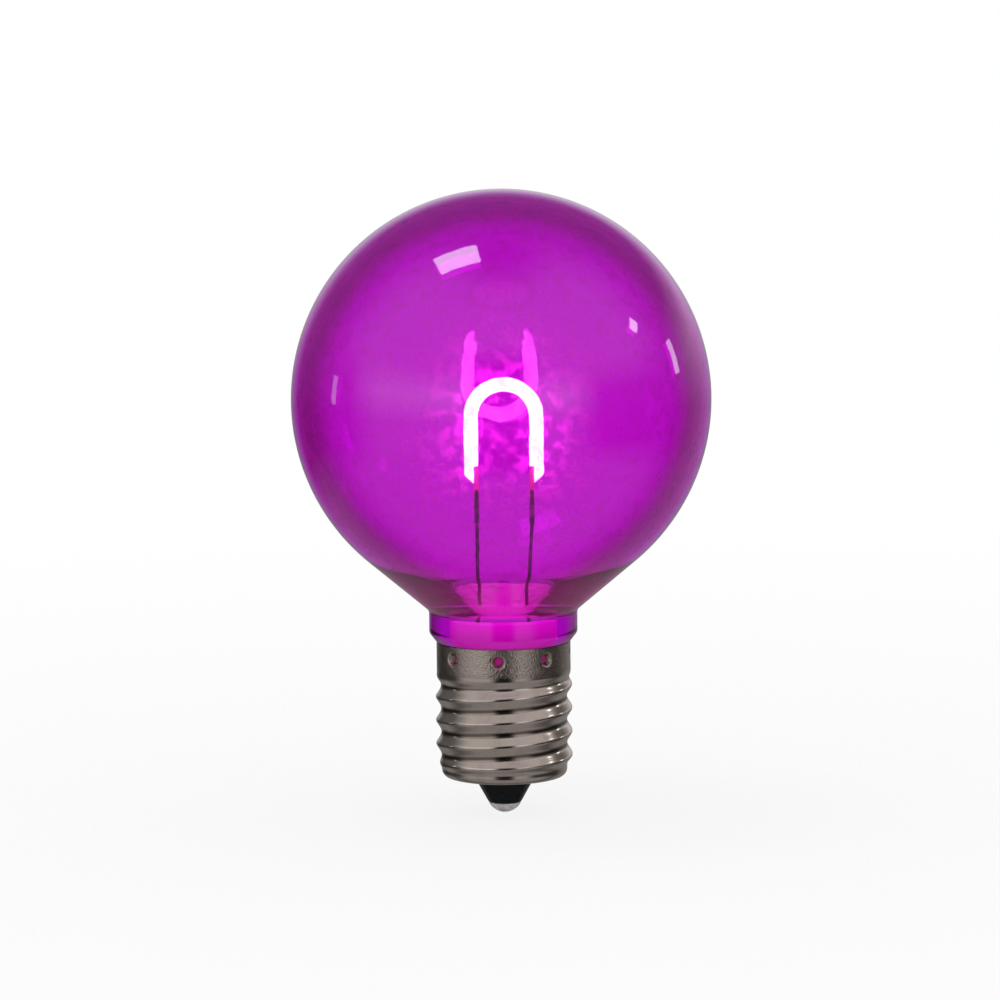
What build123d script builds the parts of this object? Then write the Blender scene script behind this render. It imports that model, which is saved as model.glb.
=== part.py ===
"""Globe bulb with a flexible LED filament and a 17 mm screw base.

The origin is the tip of the centre contact, +Z runs up the bulb's axis, and the filament's flat side faces -Y.
Lengths are in millimetres and angles in degrees, counted anticlockwise from +X as seen from above.
"""

from build123d import *

import os
from math import cos, hypot, pi, radians, sin, sqrt, tan

# Fits
FIT = 0.05
PART_GAP = 0.15

# Globe, one moulding with its collar and neck
GLOBE_DIAMETER = 50.0
GLOBE_WALL = 1.2
CROWN_WALL = 1.4
SHOULDER_SLOPE = 40.0
SHOULDER_INNER_SLOPE = 35.0
COLLAR_OVERHANG = 0.85
COLLAR_HEIGHT = 3.8
COLLAR_CHAMFER_HEIGHT = 1.1
COLLAR_FILLET = 1.0
NECK_WALL = 1.15

# Screw shell, one rolled sheet
SHEET = 0.3
RIM_DIAMETER = 16.0
RIM_HEIGHT = 3.55
THREAD_DIAMETER = 16.3
THREAD_DEPTH = 0.62
THREAD_PITCH = 2.822
THREAD_LENGTH = 11.9
THREAD_FADE = 1.5
THREAD_START_ANGLE = 142.0
LIP_DIAMETER = 15.0
LIP_BEND = 0.9
LIP_FLAT = 0.6
SECTIONS_PER_HALF = 9
POINTS_PER_PITCH = 8

# Crimp dimples, punched through the rim into the neck
DIMPLE_COUNT = 8
DIMPLE_DIAMETER = 1.5
DIMPLE_HOLE_DIAMETER = 0.85
DIMPLE_DEPTH = 0.75
DIMPLE_START_ANGLE = -95.0

# Insulator and centre contact
CONTACT_DIAMETER = 3.9
CONTACT_HEIGHT = 1.25
CONTACT_SHANK_DIAMETER = 2.3
CONTACT_SHANK_LENGTH = 3.0
INSULATOR_ROOT_DIAMETER = 7.5
INSULATOR_CONE_HEIGHT = 3.15
INSULATOR_FLANGE_HEIGHT = 1.5
LAND_RECESS = 0.1

# Wire holder, a cup that plugs the neck
HOLDER_RECESS = 1.62
HOLDER_WALL = 1.0
HOLDER_PLATE = 2.4
HOLDER_FLANGE_THICKNESS = 0.6
HOLDER_FLANGE_WIDTH = 0.55
BOARD_SLOT_DEPTH = 1.0

# Lead wires and filament
WIRE_DIAMETER = 0.45
WIRE_SPACING = 6.0
WIRE_RISE = 15.2
WIRE_FOOT_RISE = 1.5
WIRE_BEND_RADIUS = 8.0
FILAMENT_DIAMETER = 1.7
FILAMENT_SPAN = 7.8
FILAMENT_LEG_LENGTH = 7.9
FILAMENT_SHIFT = 0.25
FILAMENT_END_RADIUS = 0.4
TAB_WIDTH = 0.6
TAB_THICKNESS = 0.15
TAB_LENGTH = 6.9
TAB_OVERLAP = 4.0
TAB_INSET = 0.6
NOTCH_HEIGHT = 2.0
WELD_GAP = 0.01

# Driver board and what is soldered to it
BOARD_THICKNESS = 0.8
BOARD_LENGTH = 11.6
SOLDER_RADIUS = 0.75
LEAD_SOLDER_DROP = 6.2
LEAD_END_DROP = 6.8
RECTIFIER_SIZE = (4.7, 1.4, 3.9)
RECTIFIER_DROP = 9.1
RECTIFIER_LEG_SIZE = (0.9, 0.25, 0.6)
RECTIFIER_LEG_PITCH = 2.5
CHIP_SIZE = (1.25, 0.55, 2.0)
CHIP_SPACING = 6.2
CHIP_DROP = 9.2
FUSE_DIAMETER = 2.3
FUSE_LENGTH = 6.0
FUSE_DROP = 5.0
FUSE_END_RADIUS = 0.4
FUSE_LEAD_DIAMETER = 0.5
FUSE_LEAD_RISE = 0.9
FUSE_LEAD_STUB = 0.7
FUSE_BEND_RADIUS = 0.6
FUSE_BEND_HEIGHT = 1.8
CONTACT_BORE_FLOOR = 0.7
SHELL_WIRE_PAD_X = -4.2
SHELL_WIRE_PAD_DROP = 9.4
SHELL_WIRE_PAD_LENGTH = 1.3
SHELL_WIRE_RUN = 1.8
SHELL_WIRE_JOG = 0.9
SHELL_WIRE_TOP_GAP = 0.8
SHELL_WIRE_BEND_RADIUS = 0.5
SHELL_SOLDER_RADIUS = 0.6

# Share of a quarter arc's radius by which a curve's handles follow the arc
QUARTER_ARC_PULL = 0.5523

# Radii that follow from the sizes above
GLOBE_R = GLOBE_DIAMETER / 2
RIM_R = RIM_DIAMETER / 2
CREST_R = THREAD_DIAMETER / 2
MEAN_R = CREST_R - THREAD_DEPTH / 2
ROOT_BORE_R = CREST_R - THREAD_DEPTH - SHEET
LIP_R = LIP_DIAMETER / 2
LIP_FLAT_R = LIP_R - LIP_BEND
LIP_OPENING_R = LIP_FLAT_R - LIP_FLAT
COLLAR_R = RIM_R + COLLAR_OVERHANG
NECK_R = RIM_R - SHEET - FIT
NECK_BORE_R = NECK_R - NECK_WALL
HOLDER_R = NECK_BORE_R - FIT
HOLDER_BORE_R = HOLDER_R - HOLDER_WALL
WIRE_R = WIRE_DIAMETER / 2
LEAD_R = FUSE_LEAD_DIAMETER / 2

# Heights, stacked up from the contact's tip
SHELL_BOTTOM_Z = CONTACT_HEIGHT + INSULATOR_CONE_HEIGHT
INSULATOR_SEAT_Z = SHELL_BOTTOM_Z + SHEET
INSULATOR_TOP_Z = INSULATOR_SEAT_Z + INSULATOR_FLANGE_HEIGHT
THREAD_BOTTOM_Z = SHELL_BOTTOM_Z + LIP_BEND
THREAD_TOP_Z = THREAD_BOTTOM_Z + THREAD_LENGTH
RIM_TOP_Z = THREAD_TOP_Z + RIM_HEIGHT
NECK_BOTTOM_Z = THREAD_TOP_Z + HOLDER_FLANGE_THICKNESS + FIT
DIMPLE_Z = (NECK_BOTTOM_Z + RIM_TOP_Z) / 2
COLLAR_TOP_Z = RIM_TOP_Z + COLLAR_HEIGHT
SLOPE_SIN = sin(radians(SHOULDER_SLOPE))
SLOPE_COS = cos(radians(SHOULDER_SLOPE))
GLOBE_Z = COLLAR_TOP_Z + (GLOBE_R - COLLAR_R * SLOPE_SIN) / SLOPE_COS
INNER_SLOPE_SIN = sin(radians(SHOULDER_INNER_SLOPE))
INNER_SLOPE_COS = cos(radians(SHOULDER_INNER_SLOPE))
NECK_BORE_TOP_Z = GLOBE_Z - (GLOBE_R - GLOBE_WALL - NECK_BORE_R * INNER_SLOPE_SIN) / INNER_SLOPE_COS
HOLDER_TOP_Z = NECK_BORE_TOP_Z - HOLDER_RECESS
HOLDER_BOTTOM_Z = NECK_BOTTOM_Z - HOLDER_FLANGE_THICKNESS
PLATE_BOTTOM_Z = HOLDER_TOP_Z - HOLDER_PLATE
BOARD_TOP_Z = PLATE_BOTTOM_Z + BOARD_SLOT_DEPTH - FIT
WIRE_TOP_Z = HOLDER_TOP_Z + WIRE_RISE
TAB_BOTTOM_Z = WIRE_TOP_Z - TAB_OVERLAP
TAB_TOP_Z = TAB_BOTTOM_Z + TAB_LENGTH
FILAMENT_END_Z = TAB_TOP_Z - NOTCH_HEIGHT
FILAMENT_ARCH_Z = FILAMENT_END_Z + FILAMENT_LEG_LENGTH

# The board stands just behind the plane of the lead wires, which lie flat on its face
BOARD_FRONT_Y = WIRE_R + WELD_GAP
BOARD_BACK_Y = BOARD_FRONT_Y + BOARD_THICKNESS
BOARD_WIDTH = 2 * (sqrt(HOLDER_BORE_R**2 - BOARD_BACK_Y**2) - PART_GAP)
FUSE_Y = BOARD_BACK_Y + FUSE_DIAMETER / 2 + FIT
TAB_Y = WIRE_R + WELD_GAP + TAB_THICKNESS / 2

# The shell wire leaves the board for a slot in the neck, midway between two dimples
DIMPLE_STEP = 360.0 / DIMPLE_COUNT
SHELL_WIRE_ANGLE = DIMPLE_START_ANGLE - 1.5 * DIMPLE_STEP
SHELL_WIRE_INNER_R = min(ROOT_BORE_R, LIP_R - SHEET) - PART_GAP - WIRE_R
SHELL_WIRE_OUTER_R = NECK_R - WIRE_R
SHELL_WIRE_TOP_Z = RIM_TOP_Z - SHELL_WIRE_TOP_GAP
SLOT_WIDTH = WIRE_DIAMETER + 2 * PART_GAP


def revolved(*edges):
    """Solid of revolution about the axis, from a closed outline drawn as radius and height."""
    return revolve(Plane.XZ * make_face(Curve() + list(edges)), axis=Axis.Z)


def block(size, centre):
    """Box of the given size about a centre point."""
    return Pos(*centre) * Box(*size)


def upright_cylinder(radius, bottom_z, top_z, x=0.0, y=0.0):
    """Vertical cylinder between two heights."""
    return Pos(x, y, (bottom_z + top_z) / 2) * Cylinder(radius, top_z - bottom_z)


def round_wire(radius, bend_radius, *points):
    """Round wire bent along straight runs."""
    path = FilletPolyline(*points, radius=bend_radius)
    section = Plane(origin=path @ 0, z_dir=path % 0) * Circle(radius)
    return sweep(section, path=path)


def radial_point(radius, angle, height):
    """Point at a radius and angle about the axis."""
    return (radius * cos(radians(angle)), radius * sin(radians(angle)), height)


def dimple_angles():
    return [DIMPLE_START_ANGLE + DIMPLE_STEP * index for index in range(DIMPLE_COUNT)]


def dimple_cone(angle, start_depth, end_depth, offset):
    """Cone that narrows inwards from the rim's face, widened by an offset, between two depths below that face."""
    taper = (DIMPLE_DIAMETER - DIMPLE_HOLE_DIAMETER) / 2 / DIMPLE_DEPTH
    start_radius = DIMPLE_DIAMETER / 2 + offset - taper * start_depth
    end_radius = DIMPLE_DIAMETER / 2 + offset - taper * end_depth
    cone = Cone(start_radius, end_radius, end_depth - start_depth, align=(Align.CENTER, Align.CENTER, Align.MIN))
    start = radial_point(RIM_R - start_depth, angle, DIMPLE_Z)
    return Plane(origin=start, z_dir=radial_point(-1, angle, 0)) * cone


def shell_wire_slot(inner_radius, bottom_z, top_z):
    """Cutter that leaves room for the shell wire from a radius outwards."""
    length = COLLAR_R - inner_radius
    cutter = block((length, SLOT_WIDTH, top_z - bottom_z), (inner_radius + length / 2, 0, (bottom_z + top_z) / 2))
    return Rot(Z=SHELL_WIRE_ANGLE) * cutter


def make_globe():
    """Blown globe with a thicker crown, whose shoulder thickens towards a moulded collar and neck."""
    centre = (0, GLOBE_Z)
    inner_r = GLOBE_R - GLOBE_WALL
    outer_face = CenterArc(centre, GLOBE_R, SHOULDER_SLOPE - 90, 180 - SHOULDER_SLOPE)
    inner_face = CenterArc(centre, inner_r, SHOULDER_INNER_SLOPE - 90, 90 - SHOULDER_INNER_SLOPE)
    crown_height = GLOBE_R - CROWN_WALL
    crown = Bezier(
        (inner_r, GLOBE_Z),
        (inner_r, GLOBE_Z + QUARTER_ARC_PULL * crown_height),
        (QUARTER_ARC_PULL * inner_r, GLOBE_Z + crown_height),
        (0, GLOBE_Z + crown_height),
    )
    bend = 90 - SHOULDER_SLOPE
    fillet_z = COLLAR_TOP_Z - COLLAR_FILLET * tan(radians(bend / 2))
    fillet = CenterArc((COLLAR_R + COLLAR_FILLET, fillet_z), COLLAR_FILLET, 180, -bend)
    collar = Polyline(
        (NECK_BORE_R, NECK_BOTTOM_Z),
        (NECK_R, NECK_BOTTOM_Z),
        (NECK_R, RIM_TOP_Z),
        (RIM_R, RIM_TOP_Z),
        (COLLAR_R, RIM_TOP_Z + COLLAR_CHAMFER_HEIGHT),
        fillet @ 0,
    )
    shoulder = Line(fillet @ 1, outer_face @ 0)
    bore = Polyline(inner_face @ 0, (NECK_BORE_R, NECK_BORE_TOP_Z), (NECK_BORE_R, NECK_BOTTOM_Z))
    pole = Line(outer_face @ 1, crown @ 1)
    globe = revolved(collar, fillet, shoulder, outer_face, pole, crown, inner_face, bore)
    pits = [dimple_cone(angle, 0, DIMPLE_DEPTH + FIT, SHEET + FIT) for angle in dimple_angles()]
    slot = shell_wire_slot(NECK_BORE_R - PART_GAP, NECK_BOTTOM_Z - PART_GAP, SHELL_WIRE_TOP_Z + PART_GAP)
    return globe - pits - slot


def smooth_step(share):
    """Rise from 0 to 1 that starts and ends level."""
    share = min(max(share, 0.0), 1.0)
    return share * share * (3 - 2 * share)


def shell_radius(height, angle):
    """Outer radius of the rolled sheet in its threaded stretch."""
    foot = smooth_step((height - THREAD_BOTTOM_Z) / THREAD_FADE)
    head = smooth_step((THREAD_TOP_Z - height) / THREAD_FADE)
    turns = (height - THREAD_BOTTOM_Z) / THREAD_PITCH - (angle - THREAD_START_ANGLE) / 360
    plain = MEAN_R + (LIP_R - MEAN_R) * (1 - foot) + (RIM_R - MEAN_R) * (1 - head)
    return plain + THREAD_DEPTH / 2 * foot * head * cos(2 * pi * turns)


def thread_wave(angle, depth):
    """Spline down the threaded stretch at one angle, at a depth below the sheet's outer face."""
    steps = round(POINTS_PER_PITCH * THREAD_LENGTH / THREAD_PITCH)
    nudge = THREAD_PITCH / 1000
    points = [(RIM_R - depth, THREAD_TOP_Z)]
    for step in range(1, steps):
        height = THREAD_TOP_Z - THREAD_LENGTH * step / steps
        slope = (shell_radius(height + nudge, angle) - shell_radius(height - nudge, angle)) / (2 * nudge)
        across = depth / hypot(1, slope)
        points.append((shell_radius(height, angle) - across, height + across * slope))
    points.append((LIP_R - depth, THREAD_BOTTOM_Z))
    shares = [step / steps for step in range(steps + 1)]
    end_speed = (0, -THREAD_LENGTH)
    return Edge.make_spline(points, tangents=[end_speed, end_speed], parameters=shares, scale=False)


def shell_section(angle):
    """Section of the sheet at one angle: rim, thread, turned-in lip, and back up the inside."""
    outer_wave = thread_wave(angle, 0)
    inner_wave = thread_wave(angle, SHEET)
    bend = (LIP_FLAT_R, THREAD_BOTTOM_Z)
    edges = [
        Line((RIM_R, RIM_TOP_Z), outer_wave @ 0),
        outer_wave,
        CenterArc(bend, LIP_BEND, 0, -90),
        Polyline(
            (LIP_FLAT_R, SHELL_BOTTOM_Z),
            (LIP_OPENING_R, SHELL_BOTTOM_Z),
            (LIP_OPENING_R, INSULATOR_SEAT_Z),
            (LIP_FLAT_R, INSULATOR_SEAT_Z),
        ),
        CenterArc(bend, LIP_BEND - SHEET, -90, 90),
        inner_wave,
        Polyline(inner_wave @ 0, (RIM_R - SHEET, RIM_TOP_Z), (RIM_R, RIM_TOP_Z)),
    ]
    return Rot(Z=angle) * (Plane.XZ * make_face(Curve() + edges))


def make_screw_shell():
    """Rolled shell: two half turns lofted through sections of the sheet, with pierced dimples round the rim."""
    shell = Part()
    for start in (0.0, 180.0):
        angles = [start + 180.0 * index / SECTIONS_PER_HALF for index in range(SECTIONS_PER_HALF + 1)]
        shell += loft([shell_section(angle) for angle in angles])
    shell += [dimple_cone(angle, SHEET / 2, DIMPLE_DEPTH, SHEET) for angle in dimple_angles()]
    return shell - [dimple_cone(angle, -SHEET, DIMPLE_DEPTH + SHEET, 0) for angle in dimple_angles()]


def make_insulator():
    """Black cone whose flange sits inside the shell's lip."""
    bore_r = CONTACT_SHANK_DIAMETER / 2 + FIT
    land_z = SHELL_BOTTOM_Z + LAND_RECESS
    flange_r = min(ROOT_BORE_R, LIP_R - SHEET) - PART_GAP
    return revolved(
        Polyline(
            (bore_r, CONTACT_HEIGHT),
            (CONTACT_DIAMETER / 2, CONTACT_HEIGHT),
            (INSULATOR_ROOT_DIAMETER / 2, land_z),
            (LIP_OPENING_R - FIT, land_z),
            (LIP_OPENING_R - FIT, INSULATOR_SEAT_Z),
            (LIP_FLAT_R - PART_GAP, INSULATOR_SEAT_Z),
            (flange_r, INSULATOR_SEAT_Z + LIP_BEND),
            (flange_r, INSULATOR_TOP_Z),
            (bore_r, INSULATOR_TOP_Z),
            close=True,
        )
    )


def make_centre_contact():
    """Domed rivet with a blind bore for the fuse resistor's lead."""
    rim = CONTACT_DIAMETER / 2
    shank = CONTACT_SHANK_DIAMETER / 2
    shank_top = CONTACT_HEIGHT + CONTACT_SHANK_LENGTH
    bore = LEAD_R + FIT
    dome_radius = (rim**2 + CONTACT_HEIGHT**2) / (2 * CONTACT_HEIGHT)
    dome = RadiusArc((0, 0), (rim, CONTACT_HEIGHT), -dome_radius)
    rivet = Polyline(
        (rim, CONTACT_HEIGHT),
        (shank, CONTACT_HEIGHT),
        (shank, shank_top),
        (bore, shank_top),
        (bore, CONTACT_HEIGHT + CONTACT_BORE_FLOOR),
        (0, CONTACT_HEIGHT + CONTACT_BORE_FLOOR),
        (0, 0),
    )
    return revolved(dome, rivet)


def make_wire_holder():
    """Cup-shaped plug that carries the lead wires and the board's top edge."""
    flange_r = NECK_BORE_R + HOLDER_FLANGE_WIDTH
    cup = revolved(
        Polyline(
            (0, HOLDER_TOP_Z),
            (HOLDER_R, HOLDER_TOP_Z),
            (HOLDER_R, NECK_BOTTOM_Z - FIT),
            (flange_r, NECK_BOTTOM_Z - FIT),
            (flange_r, HOLDER_BOTTOM_Z),
            (HOLDER_BORE_R, HOLDER_BOTTOM_Z),
            (HOLDER_BORE_R, PLATE_BOTTOM_Z),
            (0, PLATE_BOTTOM_Z),
            close=True,
        )
    )
    board_slot = block(
        (BOARD_WIDTH + 2 * FIT, BOARD_THICKNESS + 2 * FIT, 2 * BOARD_SLOT_DEPTH),
        (0, (BOARD_FRONT_Y + BOARD_BACK_Y) / 2, PLATE_BOTTOM_Z),
    )
    wire_holes = [
        upright_cylinder(WIRE_R + FIT, PLATE_BOTTOM_Z - FIT, HOLDER_TOP_Z + FIT, x=side * WIRE_SPACING / 2)
        for side in (-1, 1)
    ]
    notch = shell_wire_slot(SHELL_WIRE_INNER_R - WIRE_R - PART_GAP, HOLDER_BOTTOM_Z - FIT, NECK_BOTTOM_Z)
    return cup - board_slot - wire_holes - notch


def tab_x(side):
    """Middle of a filament tab, just inside the leg that it comes out of."""
    return FILAMENT_SHIFT + side * (FILAMENT_SPAN / 2 - TAB_INSET)


def make_lead_wire(side):
    """Stiff wire from the board, up through the holder to a filament tab."""
    foot_x = side * WIRE_SPACING / 2
    return round_wire(
        WIRE_R,
        WIRE_BEND_RADIUS,
        (foot_x, 0, BOARD_TOP_Z - LEAD_END_DROP),
        (foot_x, 0, HOLDER_TOP_Z + WIRE_FOOT_RISE),
        (tab_x(side), 0, TAB_BOTTOM_Z),
        (tab_x(side), 0, WIRE_TOP_Z),
    )


def make_filament_tab(side):
    """Flat metal tab, welded to the back of its lead wire."""
    middle = (tab_x(side), TAB_Y, (TAB_BOTTOM_Z + TAB_TOP_Z) / 2)
    return block((TAB_WIDTH, TAB_THICKNESS, TAB_LENGTH), middle)


def make_filament():
    """U-shaped coated strip, notched at each end on the inner side for its tab."""
    half_span = FILAMENT_SPAN / 2
    left_x = FILAMENT_SHIFT - half_span
    right_x = FILAMENT_SHIFT + half_span
    path = Curve() + [
        Line((left_x, FILAMENT_END_Z), (left_x, FILAMENT_ARCH_Z)),
        CenterArc((FILAMENT_SHIFT, FILAMENT_ARCH_Z), half_span, 180, -180),
        Line((right_x, FILAMENT_ARCH_Z), (right_x, FILAMENT_END_Z)),
    ]
    plane = Plane(origin=(0, TAB_Y, 0), x_dir=(1, 0, 0), z_dir=(0, -1, 0))
    section = Pos(left_x, TAB_Y, FILAMENT_END_Z) * Circle(FILAMENT_DIAMETER / 2)
    strip = sweep(section, path=(plane * path).wire())
    ends = strip.faces().sort_by(Axis.Z)[:2]
    strip = fillet(ends.edges(), FILAMENT_END_RADIUS)
    for side in (-1, 1):
        wall_x = tab_x(side) + side * (TAB_WIDTH / 2 + WELD_GAP)
        notch = block(
            (FILAMENT_DIAMETER, 2 * FILAMENT_DIAMETER, 2 * NOTCH_HEIGHT),
            (wall_x - side * FILAMENT_DIAMETER / 2, TAB_Y, FILAMENT_END_Z + WELD_GAP),
        )
        strip -= notch
    return strip


def make_driver_board():
    """Circuit board with one hole for the fuse resistor's upper lead."""
    board = block(
        (BOARD_WIDTH, BOARD_THICKNESS, BOARD_LENGTH),
        (0, (BOARD_FRONT_Y + BOARD_BACK_Y) / 2, BOARD_TOP_Z - BOARD_LENGTH / 2),
    )
    hole = Plane(origin=(0, BOARD_FRONT_Y, fuse_lead_top_z()), z_dir=(0, 1, 0)) * Cylinder(
        LEAD_R + FIT, 4 * BOARD_THICKNESS
    )
    return board - hole


def make_bridge_rectifier():
    """Flat four-legged chip on the board's face."""
    width, depth, height = RECTIFIER_SIZE
    leg_length, leg_depth, leg_width = RECTIFIER_LEG_SIZE
    middle_z = BOARD_TOP_Z - RECTIFIER_DROP
    chip = block(RECTIFIER_SIZE, (0, BOARD_FRONT_Y - depth / 2, middle_z))
    for side in (-1, 1):
        for row in (-1, 1):
            leg_x = side * (width / 2 + leg_length / 2)
            leg_z = middle_z + row * RECTIFIER_LEG_PITCH / 2
            chip += block((leg_length, leg_depth, leg_width), (leg_x, BOARD_FRONT_Y - leg_depth / 2, leg_z))
    return chip


def make_chip_resistor(side):
    """Small chip resistor on the back of the board."""
    middle = (side * CHIP_SPACING / 2, BOARD_BACK_Y + CHIP_SIZE[1] / 2, BOARD_TOP_Z - CHIP_DROP)
    return block(CHIP_SIZE, middle)


def fuse_lead_top_z():
    return BOARD_TOP_Z - FUSE_DROP + FUSE_LEAD_RISE


def make_fuse_resistor():
    """Axial fusible resistor behind the board, with one lead into the board and one down to the contact."""
    body_top = BOARD_TOP_Z - FUSE_DROP
    body_bottom = body_top - FUSE_LENGTH
    body = upright_cylinder(FUSE_DIAMETER / 2, body_bottom, body_top, y=FUSE_Y)
    body = fillet(body.edges().filter_by(GeomType.CIRCLE), FUSE_END_RADIUS)
    inside_z = (body_bottom + body_top) / 2
    board_lead = round_wire(
        LEAD_R,
        FUSE_BEND_RADIUS,
        (0, FUSE_Y, inside_z),
        (0, FUSE_Y, fuse_lead_top_z()),
        (0, BOARD_FRONT_Y - FUSE_LEAD_STUB, fuse_lead_top_z()),
    )
    contact_lead = round_wire(
        LEAD_R,
        FUSE_BEND_RADIUS,
        (0, FUSE_Y, inside_z),
        (0, FUSE_Y, INSULATOR_TOP_Z + FUSE_BEND_HEIGHT),
        (0, 0, INSULATOR_TOP_Z),
        (0, 0, CONTACT_HEIGHT + CONTACT_BORE_FLOOR + FIT),
    )
    return body + board_lead + contact_lead


def make_shell_wire():
    """Bare wire from the board to the screw shell, pinched in the neck's slot under the rim."""
    pad_z = BOARD_TOP_Z - SHELL_WIRE_PAD_DROP
    return round_wire(
        WIRE_R,
        SHELL_WIRE_BEND_RADIUS,
        (SHELL_WIRE_PAD_X, 0, pad_z - SHELL_SOLDER_RADIUS),
        (SHELL_WIRE_PAD_X, 0, pad_z + SHELL_WIRE_PAD_LENGTH),
        radial_point(SHELL_WIRE_INNER_R, SHELL_WIRE_ANGLE, THREAD_TOP_Z - SHELL_WIRE_RUN),
        radial_point(SHELL_WIRE_INNER_R, SHELL_WIRE_ANGLE, THREAD_TOP_Z),
        radial_point(SHELL_WIRE_OUTER_R, SHELL_WIRE_ANGLE, THREAD_TOP_Z + SHELL_WIRE_JOG),
        radial_point(SHELL_WIRE_OUTER_R, SHELL_WIRE_ANGLE, SHELL_WIRE_TOP_Z),
    )


def solder_joint(radius, x, z):
    """Half-round bead on the board's face with a groove for the wire that it holds."""
    bead = Pos(x, BOARD_FRONT_Y, z) * Sphere(radius)
    bead = split(bead, Plane.XZ.offset(-BOARD_FRONT_Y), keep=Keep.TOP)
    return bead - upright_cylinder(WIRE_R, z - 2 * radius, z + 2 * radius, x=x)


def make_solder_joints():
    """Beads on the two lead wires and the shell wire."""
    lead_z = BOARD_TOP_Z - LEAD_SOLDER_DROP
    leads = [solder_joint(SOLDER_RADIUS, side * WIRE_SPACING / 2, lead_z) for side in (-1, 1)]
    return leads + [solder_joint(SHELL_SOLDER_RADIUS, SHELL_WIRE_PAD_X, BOARD_TOP_Z - SHELL_WIRE_PAD_DROP)]


PIECES = {
    "globe": make_globe(),
    "screw_shell": make_screw_shell(),
    "insulator": make_insulator(),
    "centre_contact": make_centre_contact(),
    "wire_holder": make_wire_holder(),
    "filament": make_filament(),
    "filament_tab_left": make_filament_tab(-1),
    "filament_tab_right": make_filament_tab(1),
    "lead_wire_left": make_lead_wire(-1),
    "lead_wire_right": make_lead_wire(1),
    "driver_board": make_driver_board(),
    "bridge_rectifier": make_bridge_rectifier(),
    "chip_resistor_left": make_chip_resistor(-1),
    "chip_resistor_right": make_chip_resistor(1),
    "fuse_resistor": make_fuse_resistor(),
    "shell_wire": make_shell_wire(),
    "solder_joints": Compound(children=make_solder_joints()),
}

os.makedirs("parts", exist_ok=True)
for name, piece in PIECES.items():
    export_step(piece, f"parts/{name}.step")
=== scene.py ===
"""Filament globe bulb dressed for the camera: finer pieces, their finishes and a small studio.

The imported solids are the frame. Lengths are in metres, and +Z runs up the bulb from the tip of its contact.
"""

import math

import bmesh
import bpy
from bmesh.types import BMEdge, BMFace, BMVert
from mathutils import Matrix, Vector


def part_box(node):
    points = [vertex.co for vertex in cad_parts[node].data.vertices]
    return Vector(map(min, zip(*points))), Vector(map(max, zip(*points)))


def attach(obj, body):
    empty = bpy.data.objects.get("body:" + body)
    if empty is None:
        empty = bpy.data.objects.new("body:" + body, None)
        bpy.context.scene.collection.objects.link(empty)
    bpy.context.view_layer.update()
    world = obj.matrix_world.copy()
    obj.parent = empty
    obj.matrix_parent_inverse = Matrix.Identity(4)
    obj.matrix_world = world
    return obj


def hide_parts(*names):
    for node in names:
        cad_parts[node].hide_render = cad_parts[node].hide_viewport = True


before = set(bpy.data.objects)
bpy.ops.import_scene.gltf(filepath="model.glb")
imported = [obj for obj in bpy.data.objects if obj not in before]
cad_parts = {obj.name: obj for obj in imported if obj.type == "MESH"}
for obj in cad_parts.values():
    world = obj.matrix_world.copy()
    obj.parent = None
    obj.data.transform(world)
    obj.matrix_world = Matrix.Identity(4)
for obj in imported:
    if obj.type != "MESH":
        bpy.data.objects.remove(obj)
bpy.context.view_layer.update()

bl_info = {
    "name": "Filament globe bulb",
    "version": (1, 0, 0),
    "blender": (4, 5, 0),
    "location": "3D View > Sidebar > Bulb",
    "description": "Builds a screw-base globe bulb with a bent LED filament over its packed solids",
    "category": "Add Mesh",
}

MM = 0.001
BODY = "root"

GLOBE_LOW, GLOBE_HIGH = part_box("globe")
SHELL_LOW, SHELL_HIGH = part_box("screw_shell")
INSULATOR_LOW, INSULATOR_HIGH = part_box("insulator")
CONTACT_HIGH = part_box("centre_contact")[1]
FILAMENT_LOW, FILAMENT_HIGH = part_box("filament")

# Heights that pieces share: the neck's foot, the top of the rim round it, and the dimples halfway between
NECK_BOTTOM = GLOBE_LOW.z
RIM_TOP = SHELL_HIGH.z
DIMPLE_HEIGHT = (NECK_BOTTOM + RIM_TOP) / 2.0

RIGHT_ANGLE = math.pi / 2.0
ORIGIN = (0.0, 0.0, 0.0)
UPWARDS = (0.0, 0.0, 1.0)
BACKWARDS = (0.0, 1.0, 0.0)
SIDEWAYS = (1.0, 0.0, 0.0)

# Fineness of the meshes
SEGMENTS = 192
ROWS_PER_PITCH = 24
BEVEL_SEGMENTS = 3
FILAMENT_SIDES = 32
FILAMENT_ARCH_STEPS = 40
FILAMENT_LEG_STEPS = 12
FILAMENT_END_SEGMENTS = 4
SHARP_ANGLE = math.radians(32)

# How near points are that count as one, as on the axis, on a ring of edges or on a wall
MERGE_DISTANCE = 1e-7
AXIS_DISTANCE = 1e-6
RING_DISTANCE = 0.01 * MM
WALL_DISTANCE = 0.05 * MM

# Gaps and small roundings
SLIDING_GAP = 0.05 * MM
FLANGE_GAP = 0.15 * MM
LAND_RISE = 0.1 * MM
CONE_FOOT_ROUND = 0.12 * MM
CONE_ROOT_ROUND = 0.25 * MM
CONTACT_ROUND = 0.1 * MM

# Square opened for a dimple, and its funnel: shares of the mouth's and the hole's radius, and of the depth
PUNCH_HALF_WIDTH = 1.0 * MM
FUNNEL = [
    (1.30, 0.0, 0.0),
    (1.12, 0.0, 0.03),
    (0.98, 0.0, 0.12),
    (0.88, 0.0, 0.30),
    (0.44, 0.5, 0.62),
    (0.0, 1.04, 0.92),
    (0.0, 1.0, 1.0),
]

# Back of the funnel: wider than the mouth where it leaves the rim, and narrower at its tip
FUNNEL_BACK_FLARE = 0.2 * MM
FUNNEL_BACK_TAPER = 0.03 * MM

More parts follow.
